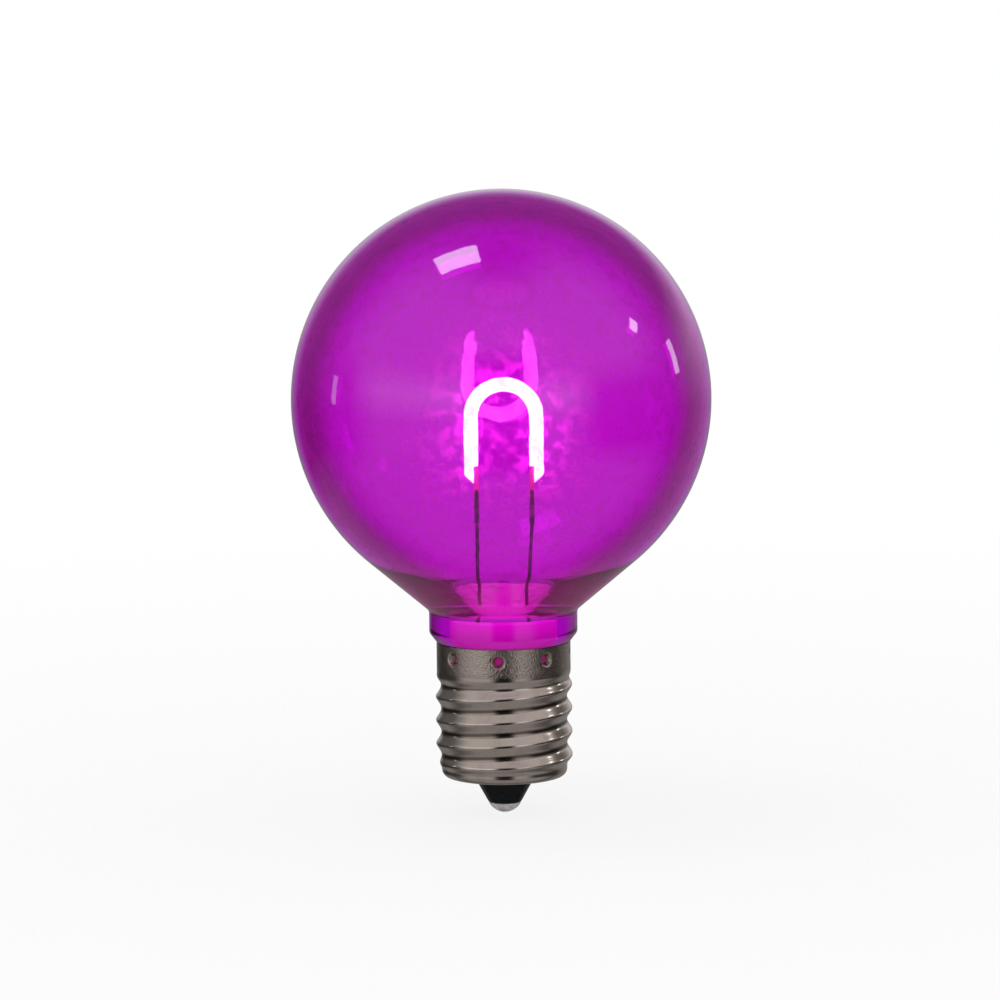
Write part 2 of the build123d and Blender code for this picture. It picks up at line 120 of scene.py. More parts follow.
# What the meshes tell their finishes: plain metal between groove and crest, the run-in of the hammered rim,
# and how far the light in the shoulder reaches, as a share of its height
PLAIN_CREST = 0.75
RIM_FADE = 0.4 * MM
GLOW_REACH = 1.4

# Rise of the filament's ends from the notch outwards
END_SLANT = 0.8


def length(name, description, default):
    """Property for a length."""
    return bpy.props.FloatProperty(
        name=name, description=description, default=default, unit="LENGTH", precision=5
    )


def angle(name, description, degrees):
    """Property for an angle, given in degrees."""
    return bpy.props.FloatProperty(
        name=name, description=description, default=math.radians(degrees), subtype="ANGLE"
    )


def number(name, description, default):
    """Property for a plain number."""
    return bpy.props.FloatProperty(name=name, description=description, default=default)


def colour(name, description, default):
    """Property for a colour."""
    return bpy.props.FloatVectorProperty(
        name=name, description=description, default=default, subtype="COLOR", size=3, min=0.0, max=1.0
    )


class BulbSizes(bpy.types.PropertyGroup):
    """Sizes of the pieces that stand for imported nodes."""

    globe_radius: length("Globe radius", "Outside of the globe", min(GLOBE_HIGH.x, GLOBE_HIGH.y))
    globe_wall: length("Globe wall", "Wall at the globe's side", 1.2 * MM)
    crown_wall: length("Crown wall", "Wall at the globe's top", 1.4 * MM)
    shoulder_slope: angle("Shoulder slope", "Slope of the cone from the globe to the collar", 40.0)
    shoulder_inner_slope: angle("Shoulder inner slope", "Slope of the same cone on its inside", 35.0)
    collar_radius: length("Collar radius", "Outside of the collar", 8.85 * MM)
    collar_top: length("Collar top", "Height at which the collar meets the shoulder", 24.55 * MM)
    collar_chamfer: length("Collar chamfer", "Height of the chamfer under the collar", 1.1 * MM)
    collar_fillet: length("Collar fillet", "Radius where the collar runs into the shoulder", 1.0 * MM)
    collar_round: length("Collar round", "Rounding of the collar's edges", 0.22 * MM)
    neck_radius: length("Neck radius", "Outside of the neck inside the rim", 7.65 * MM)
    neck_bore: length("Neck bore", "Radius of the neck's bore", 6.5 * MM)
    sheet: length("Sheet", "Thickness of the shell's metal", 0.3 * MM)
    rim_radius: length("Rim radius", "Outside of the shell's rim", 8.0 * MM)
    rim_height: length("Rim height", "Height of the plain rim above the thread", 3.55 * MM)
    thread_depth: length("Thread depth", "Crest to root of the rolled thread", 0.62 * MM)
    thread_pitch: length("Thread pitch", "Rise of the thread in one turn", 2.822 * MM)
    crest_bend: length("Crest bend", "Radius of the thread's crests", 0.45 * MM)
    groove_bend: length("Groove bend", "Radius of the thread's grooves", 1.05 * MM)
    thread_fade: length("Thread fade", "Height over which the thread runs out", 1.5 * MM)
    thread_start: angle("Thread start", "Angle of the crest at the foot of the thread", 142.0)
    lip_radius: length("Lip radius", "Outside of the shell above its lip", 7.5 * MM)
    lip_bend: length("Lip bend", "Outer radius of the bend into the lip", 0.9 * MM)
    lip_flat: length("Lip flat", "Width of the flat of the lip", 0.6 * MM)
    dimple_count: bpy.props.IntProperty(name="Dimples", description="Crimp dimples round the rim", default=8)
    dimple_start: angle("Dimple start", "Angle of the first dimple", -95.0)
    dimple_radius: length("Dimple radius", "Mouth of a dimple", 0.75 * MM)
    dimple_hole: length("Dimple hole", "Radius of the hole at the bottom of a dimple", 0.425 * MM)
    dimple_depth: length("Dimple depth", "Depth of a dimple below the rim", 0.75 * MM)
    cone_root: length("Cone root", "Radius of the insulator's cone at the lip", 3.75 * MM)
    contact_radius: length("Contact radius", "Rim of the contact's dome", 1.95 * MM)
    contact_shank: length("Contact shank", "Radius of the contact's shank", 1.15 * MM)
    contact_bore: length("Contact bore", "Radius of the shank's blind bore", 0.3 * MM)
    contact_floor: length("Contact floor", "Metal between the dome's rim and the bore's floor", 0.7 * MM)
    filament_radius: length("Filament radius", "Radius of the coated filament", 0.85 * MM)
    filament_notch: length("Filament notch", "Height of the notch for an end tab", 2.0 * MM)
    filament_notch_inset: length("Notch wall", "Notch wall from the middle of the leg, inwards", 0.29 * MM)
    filament_end_round: length("Filament end", "Rounding of the filament's ends", 0.3 * MM)


class BulbColours(bpy.types.PropertyGroup):
    """Colours of the finishes."""

    dye: colour("Dye", "Light that the purple plastic lets through in its depth", (0.943, 0.10, 0.955))
    dye_density: number("Dye density", "Strength of the dye per metre of plastic", 2200.0)
    tint: colour("Tint", "Light that a face of the purple plastic lets through", (0.83, 0.75, 0.86))
    # Painted shade: darker tint for the band where the globe is seen edge on
    limb_shade: colour("Limb", "Light that comes through where the plastic is seen edge on", (0.38, 0.30, 0.26))
    haze: colour("Haze", "Light that the moulding's haze spreads", (1.0, 0.04, 0.64))
    edge_glow: colour("Edge glow", "Filament light that shows in the shoulder's wall", (1.0, 0.02, 0.48))
    edge_glow_strength: number("Edge glow strength", "Brightness of the light in the shoulder", 0.075)
    nickel: colour("Nickel", "Plated shell on its crests", (0.72, 0.61, 0.55))
    # Painted shade, with some dirt, in the thread's grooves; the same colour also darkens the stains and the
    # whole rim
    nickel_shade_and_stain: colour("Nickel groove", "Plated shell in its grooves", (0.22, 0.18, 0.15))
    insulator: colour("Insulator", "Black cone of the base", (0.004, 0.005, 0.007))
    insulator_scuff: colour("Insulator scuff", "Scuffs on the black cone", (0.03, 0.031, 0.035))
    contact: colour("Contact", "Tinned tip", (1.0, 0.97, 0.96))
    contact_pit: colour("Contact pit", "Pits in the tinned tip", (0.62, 0.58, 0.57))
    silicone: colour("Silicone", "Coating of the filament", (0.93, 0.88, 0.80))
    glow: colour("Glow", "Light of the filament", (1.0, 0.97, 0.98))
    glow_between: colour("Glow between", "Light of the filament between its diodes", (0.95, 0.82, 0.93))
    glow_strength: number("Glow strength", "Brightness of the filament", 26.0)
    wire: colour("Wire", "Lead wires and end tabs", (0.14, 0.12, 0.12))
    tab_glow: colour("Tab glow", "Filament light on the upper part of its end tabs", (0.95, 0.02, 0.34))
    tab_glow_strength: number("Tab glow strength", "Brightness of the light on the end tabs", 0.9)
    plug: colour("Plug", "Milky plug in the neck", (0.74, 0.62, 0.66))
    plug_glow: colour("Plug glow", "Filament light that comes out through the plug", (1.0, 0.40, 0.66))
    plug_dim: colour("Plug dim", "The same light lower down the plug", (0.28, 0.05, 0.09))
    plug_glow_strength: number("Plug glow strength", "Brightness of the light in the plug", 0.95)
    laminate: colour("Laminate", "Circuit board", (0.10, 0.24, 0.11))
    chip: colour("Chip", "Moulded chip bodies", (0.02, 0.02, 0.022))
    fuse: colour("Fuse", "Coating of the fusible resistor", (0.46, 0.36, 0.24))
    solder: colour("Solder", "Soldered joints", (0.60, 0.60, 0.61))


class BulbStudio(bpy.types.PropertyGroup):
    """Camera and light."""

    view_point: length("View point", "Height on the bulb's axis that the camera is set by", 40.0 * MM)
    distance: length("Distance", "Camera to the view point", 800.0 * MM)
    elevation: angle("Elevation", "Camera above the view point", 7.5)
    roll: angle("Roll", "Camera's turn about its own line of sight", -0.55)
    focal_pixels: number("Focal length", "Focal length in pixels of a picture 1000 pixels wide", 6720.0)
    view_right: number("View right", "View point right of the picture's middle, in pixels", 1.95)
    view_up: number("View up", "View point above the picture's middle, in pixels", 19.5)
    floor: colour("Floor", "Pale floor", (0.86, 0.86, 0.86))
    soft_boxes: number("Soft boxes", "Brightness of the soft boxes in reflections", 1.1)
    ambient: number("Ambient", "Soft light from all round", 0.75)


BLACK = (0.0, 0.0, 0.0)
WHITE = (1.0, 1.0, 1.0)
NO_STRETCH = (1.0, 1.0, 1.0)
NOISE_DETAIL = 2.0
NOISE_ROUGHNESS = 0.55
NOISE_MIDDLE = 0.5


class Socket:
    """Number socket whose arithmetic adds Math nodes to its tree."""

    def __init__(self, nodes, socket):
        self.nodes = nodes
        self.socket = socket

    def math(self, operation, *operands):
        return self.nodes.add("ShaderNodeMath", {"operation": operation}, dict(enumerate(operands)))

    def __add__(self, other):
        return self.math("ADD", self, other)

    def __radd__(self, other):
        return self.math("ADD", other, self)

    def __sub__(self, other):
        return self.math("SUBTRACT", self, other)

    def __rsub__(self, other):
        return self.math("SUBTRACT", other, self)

    def __mul__(self, other):
        return self.math("MULTIPLY", self, other)

    def __rmul__(self, other):
        return self.math("MULTIPLY", other, self)

    def larger(self, other):
        return self.math("MAXIMUM", self, other)


class Nodes:
    """Node tree of a material or a world, written as calls and expressions."""

    def __init__(self, owner):
        owner.use_nodes = True
        self.tree = owner.node_tree
        self.tree.nodes.clear()

    def add(self, kind, settings=None, inputs=None, output=0):
        """Adds a node, sets it, fills or links its sockets, and gives one of its outputs."""
        made = self.tree.nodes.new(kind)
        for name, value in (settings or {}).items():
            if name == "stops":
                self.fill_ramp(made.color_ramp, value)
            else:
                setattr(made, name, value)
        for name, value in (inputs or {}).items():
            if isinstance(value, Socket):
                self.tree.links.new(value.socket, made.inputs[name])
            else:
                made.inputs[name].default_value = value
        return Socket(self, made.outputs[output]) if len(made.outputs) else None

    @staticmethod
    def fill_ramp(ramp, stops):
        while len(ramp.elements) < len(stops):
            ramp.elements.new(1.0)
        for element, (place, shade) in zip(ramp.elements, stops):
            element.position = place
            element.color = shade

    def place(self, stretch=NO_STRETCH):
        """Point on the piece, stretched along its axes."""
        spot = self.add("ShaderNodeTexCoord", output="Object")
        return self.add("ShaderNodeVectorMath", {"operation": "MULTIPLY"}, {0: spot, 1: stretch})

    def noise(self, scale, detail=NOISE_DETAIL, stretch=NO_STRETCH):
        """Noise from 0 to 1 with features of about one over the scale."""
        sockets = {
            "Vector": self.place(stretch),
            "Scale": scale,
            "Detail": detail,
            "Roughness": NOISE_ROUGHNESS,
        }
        return self.add("ShaderNodeTexNoise", None, sockets)

    def split(self, vector):
        """Three parts of a vector."""
        return [self.add("ShaderNodeSeparateXYZ", None, {0: vector}, output=part) for part in "XYZ"]

    def rise(self, low, high):
        """Share of the way up between two heights on the piece."""
        height = self.split(self.place())[2]
        ends = {"Value": height, "From Min": low, "From Max": high}
        return self.add("ShaderNodeMapRange", None, ends)

    def attribute(self, name):
        """Number that the mesh carries at its points."""
        return self.add("ShaderNodeAttribute", {"attribute_name": name}, output="Fac")

    def ray(self, kind):
        """1 for light rays of a kind, such as camera rays, and 0 for the rest."""
        return self.add("ShaderNodeLightPath", output=f"Is {kind} Ray")

    def ramp(self, share, *stops):
        """Share led through grey stops."""
        grey = [(place, (level, level, level, 1.0)) for place, level in stops]
        return self.add("ShaderNodeValToRGB", {"stops": grey}, {"Fac": share})

    def mix(self, share, first, second):
        """Blend of two colours."""
        ends = {0: share, 6: solid(first), 7: solid(second)}
        return self.add("ShaderNodeMix", {"data_type": "RGBA"}, ends, output=2)

    def blend(self, share, first, second):
        """Blend of two shaders."""
        return self.add("ShaderNodeMixShader", None, {0: share, 1: first, 2: second})

    def bump(self, height, depth):
        """Normal of a surface raised by up to a depth."""
        return self.add("ShaderNodeBump", None, {"Height": height, "Distance": depth, "Strength": 1.0})

    def surface(self, **sockets):
        """Main shader of a material."""
        named = {name.replace("_", " "): value for name, value in sockets.items()}
        return self.add("ShaderNodeBsdfPrincipled", None, named)

    def close(self, surface, volume=None):
        """Leads the shaders to the material's output."""
        ends = {"Surface": surface}
        if volume is not None:
            ends["Volume"] = volume
        self.add("ShaderNodeOutputMaterial", None, ends)


def solid(shade):
    """Colour with full alpha, or a socket as it is."""
    return shade if isinstance(shade, Socket) else (*shade, 1.0)


def dimmed(shade, share):
    """Share of a colour."""
    return tuple(share * channel for channel in shade)


def new_finish(name):
    """New material and its node tree."""
    material = bpy.data.materials.new(name)
    return material, Nodes(material)


# Purple plastic: ripples and grain to the metre, their relief, and the band where a face is seen edge on,
# tinted darker as painted shade, with a lighter outline at its very edge
PLASTIC_IOR = 1.58
PLASTIC_RIPPLES = 210.0
PLASTIC_GRAIN = 900.0
PLASTIC_GRAIN_SHARE = 0.25
PLASTIC_RELIEF = 0.010 * MM
FACING_BLEND = 0.5
LIMB_SHADE_BAND = [(0.42, 0.0), (0.64, 1.0), (0.73, 1.0), (0.83, 0.2)]

# Haze of its inside faces: specks to the metre, how sharp they are, and its share all over and in them
HAZE_ROUGHNESS = 0.45
HAZE_SPECKS = 760.0
HAZE_SPECK_DETAIL = 5.0
HAZE_SPECK_EDGE = [(0.49, 0.0), (0.63, 1.0)]
HAZE_ALL_OVER = 0.02
HAZE_IN_SPECKS = 0.28


def purple_plastic(colours):
    """Clear dyed plastic, a little uneven as moulded."""
    material, nodes = new_finish("purple_plastic")
    ripple = nodes.noise(PLASTIC_RIPPLES)
    grain = nodes.noise(PLASTIC_GRAIN)
    edge_on = nodes.add("ShaderNodeLayerWeight", None, {"Blend": FACING_BLEND}, output="Facing")
    clear = nodes.surface(
        # Painted shade in the band where the face is seen edge on
        Base_Color=nodes.mix(nodes.ramp(edge_on, *LIMB_SHADE_BAND), colours.tint, colours.limb_shade),
        Roughness=0.0,
        IOR=PLASTIC_IOR,
        Transmission_Weight=1.0,
        Emission_Color=nodes.mix(nodes.attribute("shoulder"), BLACK, colours.edge_glow),
        Emission_Strength=colours.edge_glow_strength,
        Normal=nodes.bump(ripple + PLASTIC_GRAIN_SHARE * grain, PLASTIC_RELIEF),
    )
    hazy = nodes.surface(
        Base_Color=solid(colours.haze),
        Roughness=HAZE_ROUGHNESS,
        IOR=PLASTIC_IOR,
        Transmission_Weight=1.0,
    )
    specks = nodes.ramp(nodes.noise(HAZE_SPECKS, HAZE_SPECK_DETAIL), *HAZE_SPECK_EDGE)
    share = nodes.attribute("inside") * (HAZE_ALL_OVER + HAZE_IN_SPECKS * specks)
    dye = {"Color": solid(colours.dye), "Density": colours.dye_density}
    nodes.close(nodes.blend(share, clear, hazy), nodes.add("ShaderNodeVolumeAbsorption", None, dye))
    return material


# Nickel: rolling lines drawn out round the shell, and how much they tint and raise it
ROLLING_STRETCH = (160.0, 160.0, 2600.0)
ROLLING_DETAIL = 3.0
ROLLING_TINT = 0.06
ROLLING_RELIEF = 0.08

# Where a groove's painted shade turns into the crest, the rim's hammer marks to the metre, how much darker
# the whole rim is, and the stains
CREST_EDGE = [(0.01, 0.0), (0.12, 1.0)]
HAMMER_MARKS = 5200.0
HAMMER_RELIEF = 0.06 * MM
RIM_DARKENING = 0.35
STAINS = 420.0
STAIN_DETAIL = 4.0
STAIN_EDGE = [(0.45, 0.0), (0.75, 0.3)]
NICKEL_ROUGHNESS = 0.13
STAIN_ROUGHNESS = 0.10


def nickel_plate(colours):
    """Plated rolled sheet: bright crests, grooves darkened by painted shade with some dirt, a darker hammered
    rim and fine rolling lines.
    """
    material, nodes = new_finish("nickel_plate")
    rim = nodes.attribute("rim")
    lines = nodes.noise(1.0, ROLLING_DETAIL, ROLLING_STRETCH)
    hammer = nodes.noise(HAMMER_MARKS)
    stain = nodes.noise(STAINS, STAIN_DETAIL)
    # Painted shade, with some dirt, at the bottom of each groove, its edge made ragged by the rolling lines
    out_of_groove_shade = nodes.ramp(nodes.attribute("crest") + ROLLING_TINT * (lines - NOISE_MIDDLE), *CREST_EDGE)
    metal = nodes.mix(out_of_groove_shade, colours.nickel_shade_and_stain, colours.nickel)
    # Stains, and the whole rim a share darker
    stains_and_darker_rim = nodes.ramp(stain, *STAIN_EDGE).larger(RIM_DARKENING * rim)
    relief = rim * hammer + ROLLING_RELIEF * (1.0 - rim) * lines
    surface = nodes.surface(
        Base_Color=nodes.mix(stains_and_darker_rim, metal, colours.nickel_shade_and_stain),
        Metallic=1.0,
        Roughness=NICKEL_ROUGHNESS + STAIN_ROUGHNESS * stain,
        Normal=nodes.bump(relief, HAMMER_RELIEF),
    )
    nodes.close(surface)
    return material


# Black insulator: its waves and scuffs to the metre, and how much the scuffs tint and dull it
INSULATOR_WAVES = 700.0
INSULATOR_RELIEF = 0.02 * MM
INSULATOR_SPECULAR = 0.2
INSULATOR_ROUGHNESS = 0.22
SCUFFS = 1600.0
SCUFF_DETAIL = 4.0
SCUFF_EDGE = [(0.55, 0.0), (0.8, 1.0)]
SCUFF_TINT = 0.35
SCUFF_ROUGHNESS = 0.2


def black_insulator(colours):
    """Glossy black moulding with fine scuffs."""
    material, nodes = new_finish("black_insulator")
    scuff = nodes.ramp(nodes.noise(SCUFFS, SCUFF_DETAIL), *SCUFF_EDGE)
    surface = nodes.surface(
        Base_Color=nodes.mix(SCUFF_TINT * scuff, colours.insulator, colours.insulator_scuff),
        Roughness=INSULATOR_ROUGHNESS + SCUFF_ROUGHNESS * scuff,
        Specular_IOR_Level=INSULATOR_SPECULAR,
        Normal=nodes.bump(nodes.noise(INSULATOR_WAVES), INSULATOR_RELIEF),
    )
    nodes.close(surface)
    return material


# Tinned contact: its pits to the metre and their relief, and how dull it is
PITS = 1500.0
PIT_DETAIL = 4.0
PIT_EDGE = [(0.35, 0.0), (0.6, 1.0)]
PIT_RELIEF = 0.06 * MM
PIT_ROUGHNESS = 0.25
TIN_ROUGHNESS = 0.25
TIN_METALLIC = 0.1


def tinned_contact(colours):
    """Dull tinned tip, pitted where it was soldered."""
    material, nodes = new_finish("tinned_contact")
    pits = nodes.noise(PITS, PIT_DETAIL)
    surface = nodes.surface(
        Base_Color=nodes.mix(nodes.ramp(pits, *PIT_EDGE), colours.contact_pit, colours.contact),
        Metallic=TIN_METALLIC,
        Roughness=TIN_ROUGHNESS + PIT_ROUGHNESS * pits,
        Normal=nodes.bump(pits, PIT_RELIEF),
    )
    nodes.close(surface)
    return material


# Where the dark and the pale parts of a mottled finish meet
MOTTLE_EDGE = [(0.3, 0.0), (0.7, 1.0)]

# Filament's coating: its mottle to the metre and its relief
SILICONE_MOTTLE = 900.0
SILICONE_RELIEF = 0.02 * MM
SILICONE_ROUGHNESS = 0.45


def filament_coat(colours):
    """Lit silicone coating over the diodes."""
    material, nodes = new_finish("filament_coat")
    mottle = nodes.noise(SILICONE_MOTTLE)
    surface = nodes.surface(
        Base_Color=solid(colours.silicone),
        Roughness=SILICONE_ROUGHNESS,
        Emission_Color=nodes.mix(nodes.ramp(mottle, *MOTTLE_EDGE), colours.glow_between, colours.glow),
        Emission_Strength=colours.glow_strength,
        Normal=nodes.bump(mottle, SILICONE_RELIEF),
    )
    nodes.close(surface)
    return material


# Drawn metal: its lengthwise marks, and how much they dim, dull and raise it
DRAWN_STRETCH = (2600.0, 2600.0, 220.0)
DRAWN_DETAIL = 3.0
DRAWN_SHADE = 0.55
DRAWN_ROUGHNESS = 0.2
DRAWN_RELIEF = 0.01 * MM
WIRE_ROUGHNESS = 0.32
SOLDER_ROUGHNESS = 0.25

# Where the light on an end tab starts, from its foot up, and how ragged that edge is
TAB_LIGHT = [(0.25, 0.0), (0.6, 1.0)]
TAB_LIGHT_RAGGED = 0.3


def drawn_marks(nodes):
    """Marks along the metal, as a die leaves them."""
    return nodes.noise(1.0, DRAWN_DETAIL, DRAWN_STRETCH)


def drawn_metal(name, shade, dull):
    """Drawn or stamped metal with lengthwise marks."""
    material, nodes = new_finish(name)
    marks = drawn_marks(nodes)
    surface = nodes.surface(
        Base_Color=nodes.mix(nodes.ramp(marks, *MOTTLE_EDGE), dimmed(shade, DRAWN_SHADE), shade),
        Metallic=1.0,
        Roughness=dull + DRAWN_ROUGHNESS * marks,
        Normal=nodes.bump(marks, DRAWN_RELIEF),
    )
    nodes.close(surface)
    return material


def lit_tab(colours):
    """Stamped end tab that the filament lights from above."""
    material, nodes = new_finish("lit_tab")
    marks = drawn_marks(nodes)
    low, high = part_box("filament_tab_left")
    up = nodes.rise(low.z, high.z) + TAB_LIGHT_RAGGED * (marks - NOISE_MIDDLE)
    surface = nodes.surface(
        Base_Color=nodes.mix(marks, dimmed(colours.wire, DRAWN_SHADE), colours.wire),
        Metallic=1.0,
        Roughness=WIRE_ROUGHNESS + DRAWN_ROUGHNESS * marks,
        Emission_Color=nodes.mix(nodes.ramp(up, *TAB_LIGHT), BLACK, colours.tab_glow),
        Emission_Strength=colours.tab_glow_strength,
        Normal=nodes.bump(marks, DRAWN_RELIEF),
    )
    nodes.close(surface)
    return material


# Moulded parts: how much their grain dims, dulls and raises them, and the same for the milky plug
MOULD_DETAIL = 3.0
MOULD_SHADE = 0.72
MOULD_ROUGHNESS = 0.15
MOULD_RELIEF = 0.015 * MM
PLUG_GRAIN = 900.0
PLUG_SHADE = 0.8
PLUG_ROUGHNESS = 0.35


def moulded(name, shade, dull, grain):
    """Opaque moulded or coated surface with a fine grain."""
    material, nodes = new_finish(name)
    mottle = nodes.noise(grain, MOULD_DETAIL)
    surface = nodes.surface(
        Base_Color=nodes.mix(nodes.ramp(mottle, *MOTTLE_EDGE), dimmed(shade, MOULD_SHADE), shade),
        Roughness=dull + MOULD_ROUGHNESS * mottle,
        Normal=nodes.bump(mottle, MOULD_RELIEF),
    )
    nodes.close(surface)
    return material


def milky_plug(colours):
    """Milky plastic that carries the filament's light down its side."""
    material, nodes = new_finish("milky_plug")
    mottle = nodes.noise(PLUG_GRAIN, MOULD_DETAIL)
    low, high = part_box("wire_holder")
    up = nodes.rise((low.z + high.z) / 2.0, high.z)
    surface = nodes.surface(
        Base_Color=nodes.mix(mottle, dimmed(colours.plug, PLUG_SHADE), colours.plug),
        Roughness=PLUG_ROUGHNESS + MOULD_ROUGHNESS * mottle,
        Emission_Color=nodes.mix(up, colours.plug_dim, colours.plug_glow),
        Emission_Strength=colours.plug_glow_strength,
        Normal=nodes.bump(mottle, MOULD_RELIEF),
    )
    nodes.close(surface)
    return material


def only(kind, items):
    """Items of one kind, such as edges, out of what a mesh operator gives."""
    return [item for item in items if isinstance(item, kind)]


class Lathe:
    """Pen that draws an outline of radius and height, for a full spin about the bulb's axis."""

    def __init__(self, radius, height):
        self.mesh = bmesh.new()
        self.tip = self.mesh.verts.new((radius, 0.0, height))

    def line(self, radius, height, steps=1):
        """Straight run to a point in equal steps."""
        stride = (Vector((radius, 0.0, height)) - self.tip.co) / steps
        for _ in range(steps):
            made = bmesh.ops.extrude_vert_indiv(self.mesh, verts=[self.tip])
            self.tip = made["verts"][0]
            bmesh.ops.translate(self.mesh, vec=stride, verts=[self.tip])

    def arc(self, radius, height, turn, steps):
        """Arc about a centre, turning from up towards outwards, and gives its new points."""
        known = set(self.mesh.verts)
        made = bmesh.ops.spin(
            self.mesh,
            geom=[self.tip],
            cent=(radius, 0.0, height),
            axis=BACKWARDS,
            angle=turn,
            steps=steps,
        )
        self.tip = only(BMVert, made["geom_last"])[0]
        return [vert for vert in self.mesh.verts if vert not in known]

    def turned(self, start=0.0):
        """Full spin from a starting angle, with the seam and the poles closed."""
        for vert in self.mesh.verts:
            if abs(vert.co.x) < AXIS_DISTANCE:
                vert.co.x = 0.0
        bmesh.ops.spin(
            self.mesh,
            geom=self.mesh.verts[:] + self.mesh.edges[:],
            cent=ORIGIN,
            axis=UPWARDS,
            angle=math.tau,
            steps=SEGMENTS,
            use_merge=True,
        )
        bmesh.ops.remove_doubles(self.mesh, verts=self.mesh.verts, dist=MERGE_DISTANCE)
        turn = Matrix.Rotation(start, 3, "Z")
        bmesh.ops.rotate(self.mesh, cent=ORIGIN, matrix=turn, verts=self.mesh.verts)
        return self.mesh


def bevel(mesh, edges, radius, segments=BEVEL_SEGMENTS):
    """Rounds edges."""
    bmesh.ops.bevel(
        mesh,
        geom=edges,
        offset=radius,
        segments=segments,
        profile=0.5,
        affect="EDGES",
        material=-1,
        clamp_overlap=True,
    )


def round_rings(mesh, corners, radius):
    """Rounds the rings of edges that run through corners given as radius and height."""

    def on_ring(vert, corner):
        outwards = math.hypot(vert.co.x, vert.co.y) - corner[0]
        upwards = vert.co.z - corner[1]
        return abs(outwards) < RING_DISTANCE and abs(upwards) < RING_DISTANCE

    rings = [
        edge
        for edge in mesh.edges
        if any(all(on_ring(vert, corner) for vert in edge.verts) for corner in corners)
    ]
    bevel(mesh, rings, radius)


def extrude_ring(mesh, edges):
    """Extrudes a ring of edges and gives the new points and the new ring."""
    made = bmesh.ops.extrude_edge_only(mesh, edges=edges)["geom"]
    verts = only(BMVert, made)
    fresh = set(verts)
    ring = [edge for edge in only(BMEdge, made) if fresh.issuperset(edge.verts)]
    return verts, ring


def punch(mesh, turn, wall, rings):
    """Opens a square of faces on an upright wall at a dimple, and leads its edge through rings.

    Each ring is round, and given by its radius and its depth below the wall.
    """

    def across(point):
        off = math.remainder(math.atan2(point.y, point.x) - turn, math.tau)
        return Vector((off * wall, point.z - DIMPLE_HEIGHT))

    def in_square(face):
        middle = face.calc_center_median()
        on_wall = abs(math.hypot(middle.x, middle.y) - wall) < WALL_DISTANCE
        return on_wall and max(abs(part) for part in across(middle)) < PUNCH_HALF_WIDTH

    square = [face for face in mesh.faces if in_square(face)]
    opened = set(square)
    edges = dict.fromkeys(edge for face in square for edge in face.edges)
    outline = [edge for edge in edges if not opened.issuperset(edge.link_faces)]
    bmesh.ops.delete(mesh, geom=square, context="FACES")
    for radius, depth in rings:
        verts, outline = extrude_ring(mesh, outline)
        for vert in verts:
            side, rise = radius * across(vert.co).normalized()
            at = turn + side / wall
            out = wall - depth
            vert.co = (out * math.cos(at), out * math.sin(at), DIMPLE_HEIGHT + rise)
    return outline


def dimple_turns(sizes):
    """Angles of the dimples round the rim."""
    step = math.tau / sizes.dimple_count
    return [sizes.dimple_start + step * place for place in range(sizes.dimple_count)]


def add_piece(mesh, name, finish, nodes):
    """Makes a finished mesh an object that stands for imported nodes."""
    bmesh.ops.recalc_face_normals(mesh, faces=mesh.faces)
    data = bpy.data.meshes.new(name)
    mesh.to_mesh(data)
    mesh.free()
    data.shade_smooth()
    data.set_sharp_from_angle(angle=SHARP_ANGLE)
    piece = bpy.data.objects.new(name, data)
    bpy.context.scene.collection.objects.link(piece)
    data.materials.append(finish)
    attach(piece, BODY)
    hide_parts(*nodes)
    return piece


def finish_nodes(finish, *names):
    """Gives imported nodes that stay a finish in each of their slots."""
    for name in names:
        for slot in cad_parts[name].material_slots:
            slot.material = finish


def smooth_step(share):
    """Rise from 0 to 1 that starts and ends level."""
    share = min(max(share, 0.0), 1.0)
    return share * share * (3.0 - 2.0 * share)


